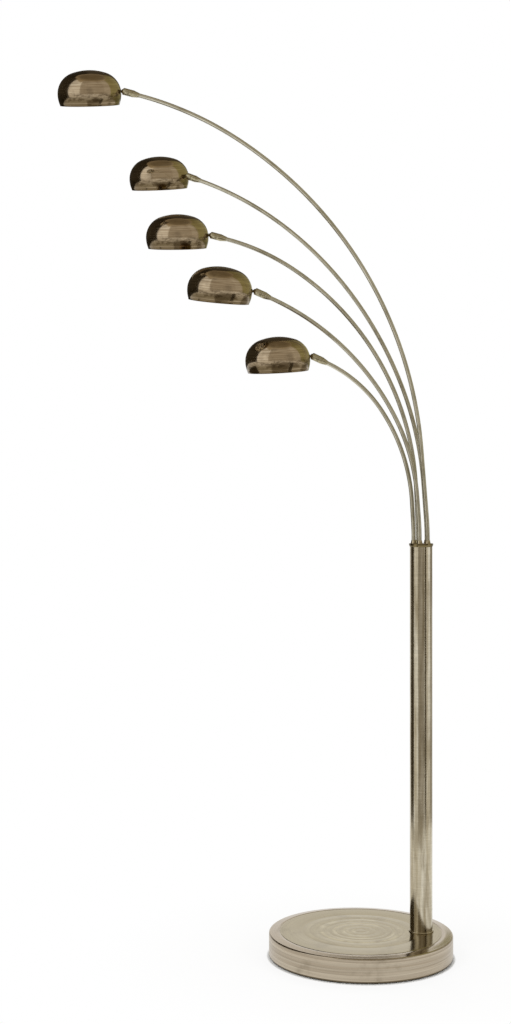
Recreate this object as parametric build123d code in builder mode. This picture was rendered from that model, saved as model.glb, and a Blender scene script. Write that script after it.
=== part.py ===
"""Floor lamp with five arched arms, in millimetres.

A round weighted base stands on the floor. Its centre is the origin, at floor level, and +Z is up.
A round column stands off-centre on it, toward +X. Five bent tubes turn in the column's cap and
reach toward -X. Each ends in a ferrule, in which a slotted ball turns, and a domed shade tilts on
the pin across the ball's slot.
"""

from build123d import *
from dataclasses import dataclass
from math import asin, atan2, degrees, sqrt
import os

# Base
base_diameter = 440.0
shell_height = 57.0
shell_wall = 1.5
top_rim_width = 27.0
top_rim_drop = 2.5
top_groove_width = 2.0
top_groove_depth = 0.6
shell_edge_radius = 3.5
foot_diameter = 30.0
foot_height = 3.0
foot_inset = 15.0
edge_foot_count = 6
plate_thickness = 2.0
plate_clearance = 0.5
weight_clearance = 7.0
weight_thickness = 18.0
post_diameter = 26.0
post_inset = 22.0
post_count = 4
post_start_angle = 45.0
screw_diameter = 5.0
screw_head_diameter = 10.0
screw_head_height = 1.6
screw_slot_width = 1.2
screw_slot_depth = 0.8
screw_length = 18.0
screw_clearance = 0.05
inlet_angle = 62.0
inlet_height = 18.0
inlet_bore = 7.0
inlet_hole_diameter = 12.0
grommet_flange_width = 2.0
grommet_flange_thickness = 1.5
grommet_clearance = 0.2
terminal_block_length = 42.0
terminal_block_width = 18.0
terminal_block_height = 16.0
terminal_block_inset = 70.0
terminal_block_angle = 80.0
terminal_screw_diameter = 5.0
terminal_screw_depth = 4.0
terminal_screw_count = 3
terminal_screw_pitch = 12.0

# Column
column_edge_distance = 75.0
column_diameter = 54.0
column_wall = 1.5
column_height = 922.0
column_fit = 0.05
foot_ring_width = 2.5
foot_ring_height = 3.0
foot_ring_chamfer = 1.0
plug_height = 22.0
bolt_diameter = 12.0
bolt_clearance = 0.25
bolt_head_width = 18.0
bolt_head_height = 8.0
bolt_flange_diameter = 26.0
bolt_flange_thickness = 2.0
bolt_thread_length = 18.0
wire_hole_diameter = 9.0
wire_hole_offset = 15.0
cap_lip_diameter = 58.0
cap_lip_height = 8.0
cap_flare_height = 4.5
cap_edge_chamfer = 0.8
cap_spigot_height = 20.0

# Arm bearings in the column
arm_circle_radius = 18.0
bushing_sleeve_diameter = 12.6
bushing_flare_diameter = 14.6
bushing_mouth_diameter = 11.4
bushing_flare_height = 8.0
bearing_clearance = 0.06
seat_depth_below_cap = 170.0
seat_disc_thickness = 12.0
seat_pocket_depth = 8.0
seat_wire_hole_diameter = 6.0
seat_disc_clearance = 0.3
rod_diameter = 8.0
rod_clearance = 0.2
rod_thread_length = 16.0
rod_overhang = 10.0
nut_width = 13.0
nut_height = 6.5

# Dimmer
dimmer_height = 105.0
dimmer_angle = 58.0
dimmer_body_diameter = 17.0
dimmer_body_length = 11.0
dimmer_bush_diameter = 9.5
dimmer_bush_length = 6.0
dimmer_bush_clearance = 0.4
dimmer_nut_width = 13.0
dimmer_nut_thickness = 2.2
dimmer_shaft_diameter = 6.0
dimmer_shaft_depth = 6.0
shaft_clearance = 0.05
knob_diameter = 23.0
knob_length = 13.0
knob_stand_off = 1.0
knob_chamfer = 1.2
knob_recess_diameter = 17.0
knob_recess_depth = 4.0
knob_front_thickness = 3.0
knob_flute_count = 20
knob_flute_diameter = 1.6
knob_mark_width = 1.2
knob_mark_length = 6.0
knob_mark_depth = 0.6

# Arms
tube_diameter = 10.0
tube_wall = 1.0
stem_gap = 1.0
lean_radius = 700.0
ferrule_length = 40.0
ferrule_diameter = 16.8
ferrule_taper_length = 14.0
ferrule_mouth_diameter = 12.0
ferrule_partition = 4.0
ferrule_front_chamfer = 1.2
tube_seat_depth = 22.0
tube_fit = 0.05

# Swivel ball and pivot pin
ball_diameter = 12.4
ball_clearance = 0.3
ball_depth_in_ferrule = 1.6
ball_stem_diameter = 7.0
ball_flange_diameter = 9.6
ball_flange_thickness = 2.2
ball_tail_length = 2.5
ball_wire_bore = 3.5
ball_collar_diameter = 10.4
ball_collar_thickness = 1.0
axial_clearance = 0.2
pivot_to_shade = 7.4
tongue_thickness = 3.0
tongue_radius = 4.2
tongue_width = 5.2
tongue_clearance = 0.1
pivot_diameter = 2.5
pivot_clearance = 0.05
pivot_inset = 0.3

# Shade
shade_radius = 77.0
shade_rim_inset = 5.5
shade_widest_height = 27.0
shade_shoulder_radius = 52.0
shade_crown_radius = 130.0
shade_wall = 1.0
stud_height = 32.0
stud_diameter = 6.0
stud_clearance = 0.1
stud_flange_diameter = 9.6
stud_flange_thickness = 0.9
stud_length = 13.0

# Lamp holder and bulb
holder_nose_diameter = 10.0
holder_nose_length = 5.0
holder_diameter = 26.0
holder_length = 36.0
holder_mouth_depth = 25.0
holder_edge_chamfer = 1.5
holder_seat_gap = 0.1
bulb_cap_diameter = 14.0
bulb_cap_length = 22.0
bulb_cap_clearance = 0.3
bulb_collar_diameter = 16.0
bulb_neck_diameter = 24.0
bulb_diameter = 45.0
bulb_length = 78.0
bulb_wall = 1.0
bulb_contact_bore = 4.0


@dataclass(frozen=True)
class Arm:
    """One arm: its hole in the cap, the bends of its tube and how its shade is set."""

    number: int
    hole: int  # its place among the cap's holes, counted from the one nearest -X
    heading: float  # turn of its reach away from -X, toward +Y
    lean: float  # first bend, just above the cap
    rise: float  # straight run after it
    arch_radius: float
    arch_turn: float
    tip_radius: float
    tip_turn: float
    roll: float  # turn of the ball in the ferrule, which shows the shade's crown to -Y
    tilt: float  # fall of the shade from the line of the ferrule


ARMS = (
    Arm(1, 2, 3.0, 4.6, 164.0, 986.0, 52.7, 828.0, 17.4, roll=16.0, tilt=15.0),
    Arm(2, 3, 24.0, 4.3, 79.0, 817.0, 18.7, 960.0, 45.5, roll=13.0, tilt=18.0),
    Arm(3, 4, 6.5, 2.5, 94.0, 677.0, 53.6, 554.0, 18.5, roll=11.0, tilt=14.5),
    Arm(4, 1, -7.2, 4.4, 51.0, 490.0, 22.6, 611.0, 39.7, roll=10.0, tilt=19.0),
    Arm(5, 0, -11.0, 3.3, 49.0, 431.0, 31.5, 323.0, 31.2, roll=6.5, tilt=28.0),
)
hole_step = 360 / len(ARMS)

# Heights above the floor
shell_bottom = foot_height
base_top = shell_bottom + shell_height
weight_top = base_top - shell_wall
weight_bottom = weight_top - weight_thickness
plate_top = shell_bottom + plate_thickness
column_top = base_top + column_height
spigot_bottom = column_top - cap_spigot_height
cap_top = column_top + cap_lip_height
bend_start = cap_top + bushing_flare_height + stem_gap
stem_bottom = cap_top - seat_depth_below_cap
seat_disc_top = stem_bottom + seat_pocket_depth
seat_disc_bottom = seat_disc_top - seat_disc_thickness

# Radii and distances that several pieces share
base_radius = base_diameter / 2
rim_start = base_radius - top_rim_width
weight_radius = rim_start - weight_clearance
post_circle_radius = weight_radius - post_diameter / 2 - post_inset
column_offset = base_radius - column_edge_distance
column_radius = column_diameter / 2
column_bore_radius = column_radius - column_wall
tube_radius = tube_diameter / 2
screw_radius = screw_diameter / 2
bolt_radius = bolt_diameter / 2
rod_radius = rod_diameter / 2
ball_radius = ball_diameter / 2
ball_stem_radius = ball_stem_diameter / 2
pivot_radius = pivot_diameter / 2
stud_radius = stud_diameter / 2

column_axis = Axis((column_offset, 0, 0), (0, 0, 1))
inlet_direction = Vector(1, 0, 0).rotate(Axis.Z, inlet_angle)
dimmer_direction = Vector(1, 0, 0).rotate(Axis.Z, dimmer_angle)
inlet_frame = Plane(
    origin=inlet_direction * base_radius + Vector(0, 0, inlet_height),
    z_dir=inlet_direction,
)
dimmer_frame = Plane(origin=(column_offset, 0, dimmer_height), z_dir=dimmer_direction)


def column_level(z):
    """Horizontal plane at height z, centred on the column."""
    return Plane((column_offset, 0, z))


def section(frame):
    """Plane for a turned piece: its X is the radius and its Y runs along the frame's axis."""
    return Plane(origin=frame.origin, x_dir=frame.x_dir, z_dir=-frame.y_dir)


def side_view(frame):
    """Plane across the frame's X, as for a plate: its own X runs along the frame's axis."""
    return Plane(origin=frame.origin, x_dir=frame.z_dir, z_dir=frame.x_dir)


def axis_of(frame):
    return Axis(frame.origin, frame.z_dir)


def shifted(frame, x=0.0, y=0.0, z=0.0, turn=(0.0, 0.0, 0.0)):
    """The frame moved along its own axes, then turned about them."""
    return Plane(frame * Location((x, y, z), turn))


def save(piece, name):
    piece.part.label = name
    export_step(piece.part, f"parts/{name}.step")


os.makedirs("parts", exist_ok=True)

# ---------------------------------------------------------------- base

# Spun cover, open below: a flat top, a fine groove and a sloping rim with a rounded edge.
rim_end = base_radius - shell_edge_radius
rim_z = base_top - top_rim_drop
with BuildPart() as base_shell:
    with BuildSketch(Plane.XZ):
        with BuildLine():
            Polyline(
                (0, base_top),
                (rim_start, base_top),
                (rim_start, base_top - top_groove_depth),
                (rim_start + top_groove_width, base_top - top_groove_depth),
                (rim_start + top_groove_width, base_top),
                (rim_end, rim_z),
            )
            edge = JernArc((rim_end, rim_z), (1, 0), shell_edge_radius, -90)
            Polyline(
                edge @ 1,
                (base_radius, shell_bottom),
                (base_radius - shell_wall, shell_bottom),
                (base_radius - shell_wall, rim_z - shell_edge_radius),
                (rim_end, rim_z - shell_wall),
                (rim_start, base_top - shell_wall),
                (0, base_top - shell_wall),
                (0, base_top),
            )
        make_face()
    revolve(axis=Axis.Z)
    with Locations(column_level(base_top)):
        Hole(bolt_radius + bolt_clearance, depth=shell_wall)
    with Locations(shifted(column_level(base_top), x=-wire_hole_offset)):
        Hole(wire_hole_diameter / 2, depth=shell_wall)
    with Locations(inlet_frame):
        Hole(inlet_hole_diameter / 2, depth=2 * shell_wall)
save(base_shell, "base_shell")

# Cast disc under the shell's top, with posts that stand on the bottom plate.
with BuildPart() as base_weight:
    with BuildSketch(Plane.XY.offset(weight_bottom)):
        Circle(weight_radius)
    extrude(amount=weight_thickness)
    with BuildSketch(Plane.XY.offset(plate_top)):
        with PolarLocations(post_circle_radius, post_count, start_angle=post_start_angle):
            Circle(post_diameter / 2)
    extrude(amount=weight_bottom - plate_top)
    with BuildSketch(Plane.XY.offset(plate_top)):
        with PolarLocations(post_circle_radius, post_count, start_angle=post_start_angle):
            Circle(screw_radius + screw_clearance)
    extrude(amount=screw_length, mode=Mode.SUBTRACT)
    with Locations(column_level(weight_top)):
        Hole(bolt_radius + bolt_clearance, depth=weight_thickness)
    with Locations(shifted(column_level(weight_top), x=-wire_hole_offset)):
        Hole(wire_hole_diameter / 2, depth=weight_thickness)
save(base_weight, "base_weight")

with BuildPart() as base_bottom_plate:
    with BuildSketch(Plane.XY.offset(shell_bottom)):
        Circle(base_radius - shell_wall - plate_clearance)
        with PolarLocations(post_circle_radius, post_count, start_angle=post_start_angle):
            Circle(screw_radius + screw_clearance, mode=Mode.SUBTRACT)
    extrude(amount=plate_thickness)
save(base_bottom_plate, "base_bottom_plate")

# Pan-head screws from below, shorter than the feet are high, into the posts.
with BuildPart() as base_screws:
    with BuildSketch(Plane.XY.offset(shell_bottom - screw_head_height)):
        with PolarLocations(post_circle_radius, post_count, start_angle=post_start_angle):
            Circle(screw_head_diameter / 2)
    extrude(amount=screw_head_height)
    with BuildSketch(Plane.XY.offset(shell_bottom)):
        with PolarLocations(post_circle_radius, post_count, start_angle=post_start_angle):
            Circle(screw_radius)
    extrude(amount=screw_length)
    with BuildSketch(Plane.XY.offset(shell_bottom - screw_head_height)):
        with PolarLocations(post_circle_radius, post_count, start_angle=post_start_angle):
            Rectangle(screw_head_diameter, screw_slot_width)
    extrude(amount=screw_slot_depth, mode=Mode.SUBTRACT)
save(base_screws, "base_screws")

# One foot under the middle of the plate, the others near its edge.
foot_circle_radius = base_radius - foot_inset - foot_diameter / 2
with BuildPart() as base_feet:
    with BuildSketch():
        Circle(foot_diameter / 2)
        with PolarLocations(foot_circle_radius, edge_foot_count):
            Circle(foot_diameter / 2)
    extrude(amount=foot_height)
save(base_feet, "base_feet")

# Rubber ring in the hole where the cord enters, at the back of the base.
grommet_body_radius = inlet_hole_diameter / 2 - grommet_clearance
grommet_flange_radius = inlet_hole_diameter / 2 + grommet_flange_width
grommet_inside = -shell_wall - grommet_clearance
with BuildPart() as cord_grommet:
    with BuildSketch(section(inlet_frame)):
        with BuildLine():
            Polyline(
                (inlet_bore / 2, grommet_flange_thickness),
                (grommet_flange_radius, grommet_flange_thickness),
                (grommet_flange_radius, 0),
                (grommet_body_radius, 0),
                (grommet_body_radius, grommet_inside),
                (grommet_flange_radius, grommet_inside),
                (grommet_flange_radius, grommet_inside - grommet_flange_thickness),
                (inlet_bore / 2, grommet_inside - grommet_flange_thickness),
                close=True,
            )
        make_face()
    revolve(axis=axis_of(inlet_frame))
save(cord_grommet, "cord_grommet")

block_direction = Vector(1, 0, 0).rotate(Axis.Z, terminal_block_angle)
block_frame = Plane(
    origin=block_direction * (base_radius - terminal_block_inset) + Vector(0, 0, plate_top),
    x_dir=block_direction.cross(Vector(0, 0, 1)),
    z_dir=(0, 0, 1),
)
with BuildPart() as terminal_block:
    with BuildSketch(block_frame):
        Rectangle(terminal_block_length, terminal_block_width)
    extrude(amount=terminal_block_height)
    with BuildSketch(shifted(block_frame, z=terminal_block_height)):
        with GridLocations(terminal_screw_pitch, 1, terminal_screw_count, 1):
            Circle(terminal_screw_diameter / 2)
    extrude(amount=-terminal_screw_depth, mode=Mode.SUBTRACT)
save(terminal_block, "terminal_block")

# ---------------------------------------------------------------- column

with BuildPart() as column_tube:
    with BuildSketch(column_level(base_top)):
        Circle(column_radius)
        Circle(column_bore_radius, mode=Mode.SUBTRACT)
    extrude(amount=column_height)
    with BuildSketch(dimmer_frame):
        Circle(dimmer_bush_diameter / 2 + dimmer_bush_clearance)
    extrude(amount=column_diameter, mode=Mode.SUBTRACT)
save(column_tube, "column_tube")

with BuildPart() as column_foot_ring:
    with BuildSketch(column_level(base_top)):
        Circle(column_radius + foot_ring_width)
    ring = extrude(amount=foot_ring_height)
    chamfer(ring.edges().group_by(Axis.Z)[-1], foot_ring_chamfer)
    with BuildSketch(column_level(base_top)):
        Circle(column_radius + column_fit)
    extrude(amount=foot_ring_height, mode=Mode.SUBTRACT)
save(column_foot_ring, "column_foot_ring")

# Threaded plug pressed into the foot of the column.
with BuildPart() as column_foot_plug:
    with BuildSketch(column_level(base_top)):
        Circle(column_bore_radius - column_fit)
        Circle(bolt_radius + column_fit, mode=Mode.SUBTRACT)
        with Locations((-wire_hole_offset, 0)):
            Circle(wire_hole_diameter / 2, mode=Mode.SUBTRACT)
    extrude(amount=plug_height)
save(column_foot_plug, "column_foot_plug")

# Flanged bolt from under the weight, up through the shell into the plug.
flange_bottom = weight_bottom - bolt_flange_thickness
with BuildPart() as column_bolt:
    with BuildSketch(column_level(flange_bottom)):
        Circle(bolt_flange_diameter / 2)
    extrude(amount=bolt_flange_thickness)
    with BuildSketch(column_level(flange_bottom)):
        RegularPolygon(bolt_head_width / 2, 6, major_radius=False)
    extrude(amount=-bolt_head_height)
    with BuildSketch(column_level(weight_bottom)):
        Circle(bolt_radius)
    extrude(amount=base_top + bolt_thread_length - weight_bottom)
save(column_bolt, "column_bolt")

# Cap with a flared lip and one hole for each arm's bushing.
lip_radius = cap_lip_diameter / 2
spigot_radius = column_bore_radius - column_fit
with BuildPart() as column_cap:
    with BuildSketch(section(column_level(0))):
        with BuildLine():
            Polyline(
                (0, spigot_bottom),
                (spigot_radius, spigot_bottom),
                (spigot_radius, column_top),
                (column_radius, column_top),
                (lip_radius, column_top + cap_flare_height),
                (lip_radius, cap_top - cap_edge_chamfer),
                (lip_radius - cap_edge_chamfer, cap_top),
                (0, cap_top),
                close=True,
            )
        make_face()
    revolve(axis=column_axis)
    with BuildSketch(column_level(spigot_bottom)):
        with PolarLocations(arm_circle_radius, len(ARMS), start_angle=180):
            Circle(bushing_sleeve_diameter / 2 + column_fit)
    extrude(amount=cap_top - spigot_bottom, mode=Mode.SUBTRACT)
    with BuildSketch(column_level(spigot_bottom)):
        Circle(rod_radius + column_fit)
    extrude(amount=rod_thread_length, mode=Mode.SUBTRACT)
save(column_cap, "column_cap")

# Disc on which the stems of the arms stand and turn.
with BuildPart() as arm_seat_disc:
    with BuildSketch(column_level(seat_disc_bottom)):
        Circle(column_bore_radius - seat_disc_clearance)
        Circle(rod_radius + rod_clearance, mode=Mode.SUBTRACT)
        with PolarLocations(arm_circle_radius, len(ARMS), start_angle=180):
            Circle(seat_wire_hole_diameter / 2, mode=Mode.SUBTRACT)
    extrude(amount=seat_disc_thickness)
    with BuildSketch(column_level(stem_bottom)):
        with PolarLocations(arm_circle_radius, len(ARMS), start_angle=180):
            Circle(tube_radius + bearing_clearance)
    extrude(amount=seat_pocket_depth, mode=Mode.SUBTRACT)
save(arm_seat_disc, "arm_seat_disc")

rod_bottom = seat_disc_bottom - rod_overhang
with BuildPart() as seat_rod:
    with BuildSketch(column_level(rod_bottom)):
        Circle(rod_radius)
    extrude(amount=spigot_bottom + rod_thread_length - rod_bottom)
save(seat_rod, "seat_rod")

with BuildPart() as seat_nuts:
    for nut_bottom in (seat_disc_bottom - nut_height, seat_disc_top):
        with BuildSketch(column_level(nut_bottom)):
            RegularPolygon(nut_width / 2, 6, major_radius=False)
            Circle(rod_radius + column_fit, mode=Mode.SUBTRACT)
        extrude(amount=nut_height)
save(seat_nuts, "seat_nuts")


def stem_frame(arm):
    """Upright frame on the axis of the arm's stem, level with the top of the cap."""
    around = Vector(-arm_circle_radius, 0, 0).rotate(Axis.Z, arm.hole * hole_step)
    return Plane(origin=around + Vector(column_offset, 0, cap_top))


# Flared bushings, one for each arm.
with BuildPart() as arm_bushings:
    for arm in ARMS:
        frame = stem_frame(arm)
        with BuildSketch(section(frame)):
            with BuildLine():
                Polyline(
                    (tube_radius + bearing_clearance, spigot_bottom - cap_top),
                    (bushing_sleeve_diameter / 2, spigot_bottom - cap_top),
                    (bushing_sleeve_diameter / 2, 0),
                    (bushing_flare_diameter / 2, 0),
                    (bushing_mouth_diameter / 2, bushing_flare_height),
                    (tube_radius + bearing_clearance, bushing_flare_height),
                    close=True,
                )
            make_face()
        revolve(axis=axis_of(frame))
save(arm_bushings, "arm_bushings")

# ---------------------------------------------------------------- dimmer

# The body sits inside the column; its bush comes out through the wall and takes the nut.
body_front = sqrt(column_bore_radius**2 - (dimmer_body_diameter / 2) ** 2)
shaft_radius = dimmer_shaft_diameter / 2
shaft_start = body_front - dimmer_shaft_depth
with BuildPart() as dimmer_body:
    with BuildSketch(shifted(dimmer_frame, z=body_front - dimmer_body_length)):
        Circle(dimmer_body_diameter / 2)
    extrude(amount=dimmer_body_length)
    with BuildSketch(shifted(dimmer_frame, z=body_front)):
        Circle(dimmer_bush_diameter / 2)
    extrude(amount=dimmer_bush_length)
    with BuildSketch(shifted(dimmer_frame, z=shaft_start - axial_clearance)):
        Circle(shaft_radius + shaft_clearance)
    extrude(amount=column_diameter, mode=Mode.SUBTRACT)
save(dimmer_body, "dimmer_body")

with BuildPart() as dimmer_nut:
    with BuildSketch(shifted(dimmer_frame, z=column_radius)):
        RegularPolygon(dimmer_nut_width / 2, 6, major_radius=False)
        Circle(dimmer_bush_diameter / 2 + column_fit, mode=Mode.SUBTRACT)
    extrude(amount=dimmer_nut_thickness)
save(dimmer_nut, "dimmer_nut")

knob_back = column_radius + knob_stand_off
knob_front = knob_back + knob_length
shaft_end = knob_front - knob_front_thickness
with BuildPart() as dimmer_shaft:
    with BuildSketch(shifted(dimmer_frame, z=shaft_start)):
        Circle(shaft_radius)
    extrude(amount=shaft_end - shaft_start)
save(dimmer_shaft, "dimmer_shaft")

knob_front_frame = shifted(dimmer_frame, z=knob_front)
with BuildPart() as dimmer_knob:
    with BuildSketch(section(dimmer_frame)):
        with BuildLine():
            Polyline(
                (0, knob_front),
                (knob_diameter / 2 - knob_chamfer, knob_front),
                (knob_diameter / 2, knob_front - knob_chamfer),
                (knob_diameter / 2, knob_back),
                (knob_recess_diameter / 2, knob_back),
                (knob_recess_diameter / 2, knob_back + knob_recess_depth),
                (shaft_radius + column_fit, knob_back + knob_recess_depth),
                (shaft_radius + column_fit, shaft_end),
                (0, shaft_end),
                close=True,
            )
        make_face()
    revolve(axis=axis_of(dimmer_frame))
    with BuildSketch(knob_front_frame):
        with PolarLocations(knob_diameter / 2, knob_flute_count):
            Circle(knob_flute_diameter / 2)
    extrude(amount=-knob_length, mode=Mode.SUBTRACT)
    with BuildSketch(knob_front_frame):
        with Locations((knob_diameter / 2, 0)):
            Rectangle(knob_mark_length, knob_mark_width, align=(Align.MAX, Align.CENTER))
    extrude(amount=-knob_mark_depth, mode=Mode.SUBTRACT)
save(dimmer_knob, "dimmer_knob")

# ---------------------------------------------------------------- arms

# Distances from the tube's end, along the ferrule.
ferrule_front = ferrule_length - tube_seat_depth
pivot_distance = ferrule_front - ball_depth_in_ferrule
collar_end = pivot_distance - ball_radius
collar_start = collar_end - ball_collar_thickness
partition_end = collar_start - axial_clearance
partition_start = partition_end - ferrule_partition
flange_end = partition_start - axial_clearance
flange_start = flange_end - ball_flange_thickness
tail_start = flange_start - ball_tail_length
slot_bottom = pivot_distance - tongue_radius - axial_clearance
slot_width = tongue_thickness + 2 * tongue_clearance


def reach_plane(arm):
    """Upright plane in which the arm's tube is bent: X is its reach from the stem, Y the height."""
    reach = Vector(-1, 0, 0).rotate(Axis.Z, -arm.heading)
    stem = stem_frame(arm).origin
    return Plane(origin=(stem.X, stem.Y, 0), x_dir=reach, z_dir=reach.cross(Vector(0, 0, 1)))


def tube_line(arm):
    """Centre line of the tube: stem, lean, rise, arch and tip, and its seat in the ferrule."""
    with BuildLine(reach_plane(arm)) as line:
        stem = Line((0, stem_bottom), (0, bend_start))
        lean = JernArc(stem @ 1, stem % 1, lean_radius, -arm.lean)
        rise = PolarLine(lean @ 1, arm.rise, direction=lean % 1)
        arch = JernArc(rise @ 1, rise % 1, arm.arch_radius, -arm.arch_turn)
        tip = JernArc(arch @ 1, arch % 1, arm.tip_radius, -arm.tip_turn)
        PolarLine(tip @ 1, tube_seat_depth, direction=tip % 1)
    return line.wire()


def tip_frame(arm):
    """Frame at the tube's end: Z along the ferrule, X level and toward -Y, Y upward."""
    line = tube_line(arm)
    return Plane(origin=line @ 1, x_dir=reach_plane(arm).z_dir * -1, z_dir=line % 1)


def ball_frame(arm):
    """The tip frame turned about the ferrule as the ball stands; X is the pivot's direction."""
    return shifted(tip_frame(arm), turn=(0, 0, -arm.roll))


def pivot_frame(arm):
    """Frame at the pivot, turned down by the tilt: Y is the shade's upright, Z points into it."""
    return shifted(shifted(ball_frame(arm), z=pivot_distance), turn=(arm.tilt, 0, 0))


def make_arm_tube(arm):
    line = tube_line(arm)
    with BuildPart() as tube:
        with BuildSketch(Plane(origin=line @ 0, z_dir=line % 0)):
            Circle(tube_radius)
            Circle(tube_radius - tube_wall, mode=Mode.SUBTRACT)
        sweep(path=line)
    save(tube, f"arm{arm.number}_tube")


def make_ferrule(arm):
    """Turned sleeve on the tube's end: a partition holds the ball's stem, a cup its ball."""
    frame = tip_frame(arm)
    ferrule_radius = ferrule_diameter / 2
    bore_radius = tube_radius + tube_fit
    stem_bore_radius = ball_stem_radius + bearing_clearance
    cup_radius = ball_radius + ball_clearance
    with BuildPart() as ferrule:
        with BuildSketch(section(frame)):
            with BuildLine():
                Polyline(
                    (bore_radius, -tube_seat_depth),
                    (ferrule_mouth_diameter / 2, -tube_seat_depth),
                    (ferrule_radius, ferrule_taper_length - tube_seat_depth),
                    (ferrule_radius, ferrule_front - ferrule_front_chamfer),
                    (ferrule_radius - ferrule_front_chamfer, ferrule_front),
                    (cup_radius, ferrule_front),
                    (cup_radius, partition_end),
                    (stem_bore_radius, partition_end),
                    (stem_bore_radius, partition_start),
                    (bore_radius, partition_start),
                    close=True,
                )
            make_face()
        revolve(axis=axis_of(frame))
    save(ferrule, f"arm{arm.number}_ferrule")


def make_swivel_ball(arm):
    """Slotted ball on a flanged hollow stem, which turns in the ferrule's partition."""
    frame = ball_frame(arm)
    flange_radius = ball_flange_diameter / 2
    collar_radius = ball_collar_diameter / 2
    stem_end = pivot_distance - sqrt(ball_radius**2 - ball_stem_radius**2)
    ball_front = pivot_distance + ball_radius
    with BuildPart() as ball:
        with BuildSketch(section(frame)):
            with BuildLine():
                Polyline(
                    (0, ball_front),
                    (0, tail_start),
                    (ball_stem_radius, tail_start),
                    (ball_stem_radius, flange_start),
                    (flange_radius, flange_start),
                    (flange_radius, flange_end),
                    (ball_stem_radius, flange_end),
                    (ball_stem_radius, collar_start),
                    (collar_radius, collar_start),
                    (collar_radius, collar_end),
                    (ball_stem_radius, collar_end),
                    (ball_stem_radius, stem_end),
                )
                ThreePointArc(
                    (ball_stem_radius, stem_end), (ball_radius, pivot_distance), (0, ball_front)
                )
            make_face()
        revolve(axis=axis_of(frame))
        with BuildSketch(shifted(frame, z=slot_bottom)):
            Rectangle(slot_width, 2 * ball_diameter)
        extrude(amount=ball_diameter, mode=Mode.SUBTRACT)
        with BuildSketch(shifted(frame, z=tail_start)):
            Circle(ball_wire_bore / 2)
        extrude(amount=slot_bottom - tail_start, mode=Mode.SUBTRACT)
        with BuildSketch(side_view(shifted(frame, z=pivot_distance))):
            Circle(pivot_radius + pivot_clearance)
        extrude(amount=ball_radius, both=True, mode=Mode.SUBTRACT)
    save(ball, f"arm{arm.number}_swivel_ball")


def make_pivot_pin(arm):
    """Pin across the slot, with its ends just below the ball's surface."""
    pivot_side = side_view(shifted(ball_frame(arm), z=pivot_distance))
    with BuildPart() as pin:
        with BuildSketch(pivot_side):
            Circle(pivot_radius)
        extrude(amount=ball_radius - pivot_inset, both=True)
    save(pin, f"arm{arm.number}_pivot_pin")


# ---------------------------------------------------------------- shades

skirt_radius = (shade_rim_inset**2 + shade_widest_height**2) / (2 * shade_rim_inset)
shoulder_centre = (shade_radius - shade_shoulder_radius, shade_widest_height)
skirt_centre = (shade_radius - skirt_radius, shade_widest_height)
crown_rise = sqrt(
    (shade_crown_radius - shade_shoulder_radius) ** 2 - shoulder_centre[0] ** 2
)
crown_centre = (0, shade_widest_height - crown_rise)
crown_spread = degrees(atan2(shoulder_centre[0], crown_rise))


def dome_curve(inset):
    """Half outline of the dome, from the middle of its crown to its rim, in the open line."""
    CenterArc(crown_centre, shade_crown_radius - inset, 90 - crown_spread, crown_spread)
    CenterArc(shoulder_centre, shade_shoulder_radius - inset, 0, 90 - crown_spread)
    skirt_turn = degrees(asin(shade_widest_height / (skirt_radius - inset)))
    return CenterArc(skirt_centre, skirt_radius - inset, -skirt_turn, skirt_turn)


def inner_radius(height):
    """Radius of the dome's inside above its widest level."""
    inside = shade_shoulder_radius - shade_wall
    return shoulder_centre[0] + sqrt(inside**2 - (height - shade_widest_height) ** 2)


holder_seat = inner_radius(stud_height + holder_nose_diameter / 2) - holder_seat_gap
holder_start = pivot_to_shade + shade_radius - holder_seat
holder_front = holder_start + holder_nose_length + holder_length
bulb_start = holder_front - bulb_cap_length


def make_shade(arm):
    """Spun dome, open below, with the stud's hole in its side."""
    pivot = pivot_frame(arm)
    centre = shifted(pivot, y=-stud_height, z=pivot_to_shade + shade_radius)
    frame = Plane(origin=centre.origin, x_dir=centre.x_dir, z_dir=centre.y_dir)
    crown_top = crown_centre[1] + shade_crown_radius
    with BuildPart() as shade:
        with BuildSketch(section(frame)):
            with BuildLine():
                outside = dome_curve(0)
                inside = dome_curve(shade_wall)
                Line(outside @ 0, inside @ 0)
                Line((0, crown_top), (0, crown_top - shade_wall))
            make_face()
        revolve(axis=axis_of(frame))
        with Locations(shifted(pivot, turn=(180, 0, 0))):
            Hole(stud_radius + stud_clearance, depth=stud_length)
    save(shade, f"arm{arm.number}_shade")


def make_shade_stud(arm):
    """Tongue on the pivot, a flange against the dome and a threaded shank through its wall."""
    pivot = pivot_frame(arm)
    with BuildPart() as stud:
        with BuildSketch(side_view(pivot)):
            Circle(tongue_radius)
            Rectangle(pivot_to_shade, tongue_width, align=(Align.MIN, Align.CENTER))
        extrude(amount=tongue_thickness / 2, both=True)
        with BuildSketch(shifted(pivot, z=pivot_to_shade)):
            Circle(stud_flange_diameter / 2)
        extrude(amount=-stud_flange_thickness)
        with BuildSketch(shifted(pivot, z=pivot_to_shade)):
            Circle(stud_radius)
        extrude(amount=stud_length)
        with BuildSketch(side_view(pivot)):
            Circle(pivot_radius + pivot_clearance)
        extrude(amount=tongue_thickness, both=True, mode=Mode.SUBTRACT)
    save(stud, f"arm{arm.number}_shade_stud")


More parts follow.
